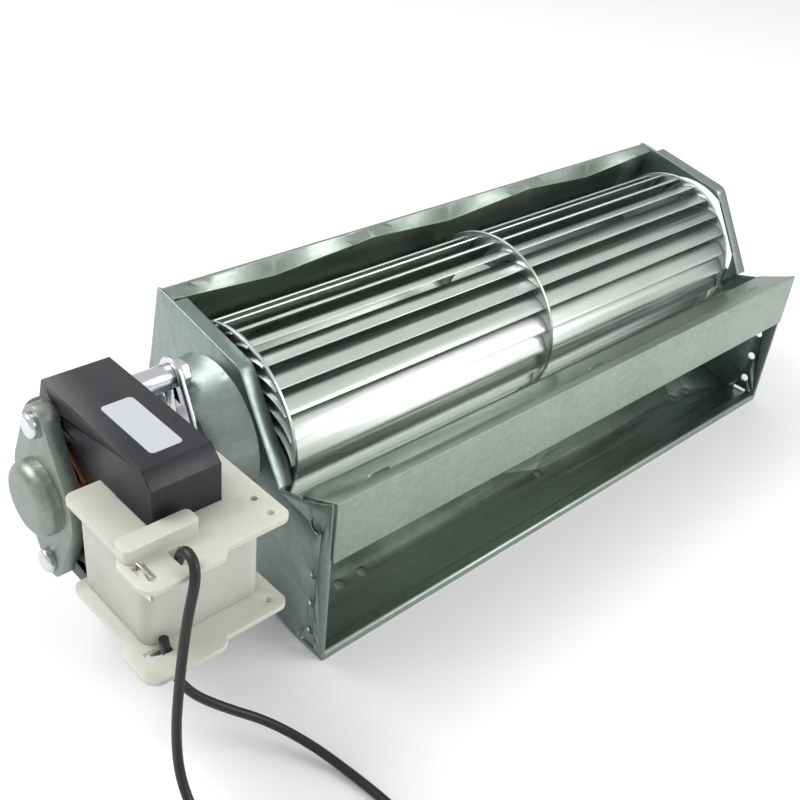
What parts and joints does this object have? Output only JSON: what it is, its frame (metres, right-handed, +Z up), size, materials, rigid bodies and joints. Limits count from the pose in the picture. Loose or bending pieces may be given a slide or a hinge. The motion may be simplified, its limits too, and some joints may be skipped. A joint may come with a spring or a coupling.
{
  "type": "cross flow fan",
  "caption": "Tangential blower with a bladed impeller between sheet-metal end plates, a scroll duct and a shaded-pole motor on one end.",
  "frame": {"origin": "middle hole of the three-hole mounting column of the drive end plate, on that plate's outer face", "axes": "+X along the impeller axis away from the motor, +Y to the back (air leaves towards -Y), +Z up"},
  "size_m": [0.3389, 0.1752, 0.0883],
  "materials": {
    "galvanised_steel": "galvanised sheet, soft spangle",
    "aluminium": "bright rolled aluminium",
    "bright_steel": "ground",
    "zinc_steel": "bright zinc plate",
    "dark_steel": "dark grey pressed steel",
    "rotor_steel": "turned laminations with cast end rings",
    "black_laminations": "blue-black varnish",
    "white_nylon": "translucent moulded nylon",
    "white_tape": "wrapped cloth tape",
    "copper": "enamelled copper",
    "rubber": "moulded rubber",
    "bronze": "sintered bronze",
    "tinned_brass": "tinned",
    "lead_insulation": "flexible black insulation"
  },
  "bodies": {
    "housing": {"bearing_bridge": "galvanised_steel", "bracket_screws": "zinc_steel", "bridge_rivets": "aluminium", "coil_bobbin": "white_nylon", "coil_core": "black_laminations", "coil_tape": "white_tape", "coil_terminals": "tinned_brass", "coil_winding": "copper", "drive_bearing": "bronze", "drive_bracket": "zinc_steel", "drive_end_plate": "galvanised_steel", "far_bearing_bush": "bronze", "far_end_plate": "galvanised_steel", "lead_1": "lead_insulation", "lead_1_coil": "lead_insulation", "lead_2": "lead_insulation", "lead_2_coil": "lead_insulation", "lead_connectors": "tinned_brass", "motor_nuts": "zinc_steel", "motor_screws": "zinc_steel", "outer_bearing": "bronze", "outer_bracket": "dark_steel", "rubber_bearing_mount": "rubber", "scroll_sheet": "galvanised_steel", "shading_rings": "copper", "spacer_tubes": "zinc_steel", "stator_stack": "black_laminations", "tongue_sheet": "galvanised_steel"},
    "rotor": {"blade_01": "aluminium", "blade_02": "aluminium", "blade_03": "aluminium", "blade_04": "aluminium", "blade_05": "aluminium", "blade_06": "aluminium", "blade_07": "aluminium", "blade_08": "aluminium", "blade_09": "aluminium", "blade_10": "aluminium", "blade_11": "aluminium", "blade_12": "aluminium", "blade_13": "aluminium", "blade_14": "aluminium", "blade_15": "aluminium", "blade_16": "aluminium", "blade_17": "aluminium", "blade_18": "aluminium", "blade_19": "aluminium", "blade_20": "aluminium", "blade_21": "aluminium", "blade_22": "aluminium", "blade_23": "aluminium", "blade_24": "aluminium", "drive_end_disc": "aluminium", "far_end_disc": "aluminium", "middle_ring": "aluminium", "impeller_hub": "aluminium", "hub_set_screw": "zinc_steel", "far_stub_shaft": "bright_steel", "motor_shaft": "bright_steel", "rotor_core": "rotor_steel"}
  },
  "joints": [
    {"name": "impeller_spin", "type": "hinge", "parent": "housing", "child": "rotor", "pos_m": [0, 0.0485, 0.0355], "axis": [1, 0, 0], "continuous": true}
  ]
}
